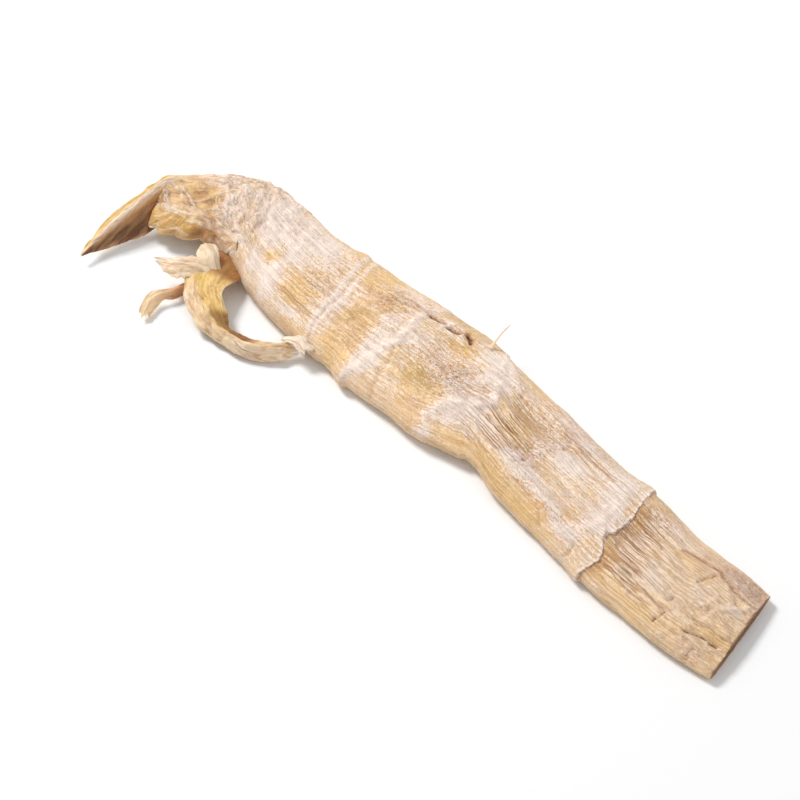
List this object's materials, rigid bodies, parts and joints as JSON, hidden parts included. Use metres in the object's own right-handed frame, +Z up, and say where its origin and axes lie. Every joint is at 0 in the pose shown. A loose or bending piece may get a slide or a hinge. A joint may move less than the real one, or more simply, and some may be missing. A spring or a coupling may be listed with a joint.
{
  "type": "dried bamboo shoot",
  "caption": "Dried bamboo shoot, peeled and pressed flat, with growth rings, a square-cut foot, a shrivelled neck and dried sheath leaves at its tip.",
  "frame": {"origin": "middle of the shoot's bounding box, on the surface that it lies on", "axes": "+X along the shoot towards its cut foot, +Z up, with the rounder, ringed face up"},
  "size_m": [0.3324, 0.0958, 0.015],
  "materials": {
    "dried_flesh": "matt, leathery and salted, with fine lengthwise fibres",
    "amber_sheath": "satin, slightly translucent dried leaf with parallel veins",
    "pale_sheath": "matt, papery dried leaf with frayed edges"
  },
  "bodies": {
    "root": {"shoot_body": "dried_flesh", "tip_leaf": "amber_sheath", "curled_sheath": "amber_sheath", "torn_sheath": "pale_sheath", "sheath_shred": "pale_sheath"}
  },
  "joints": []
}
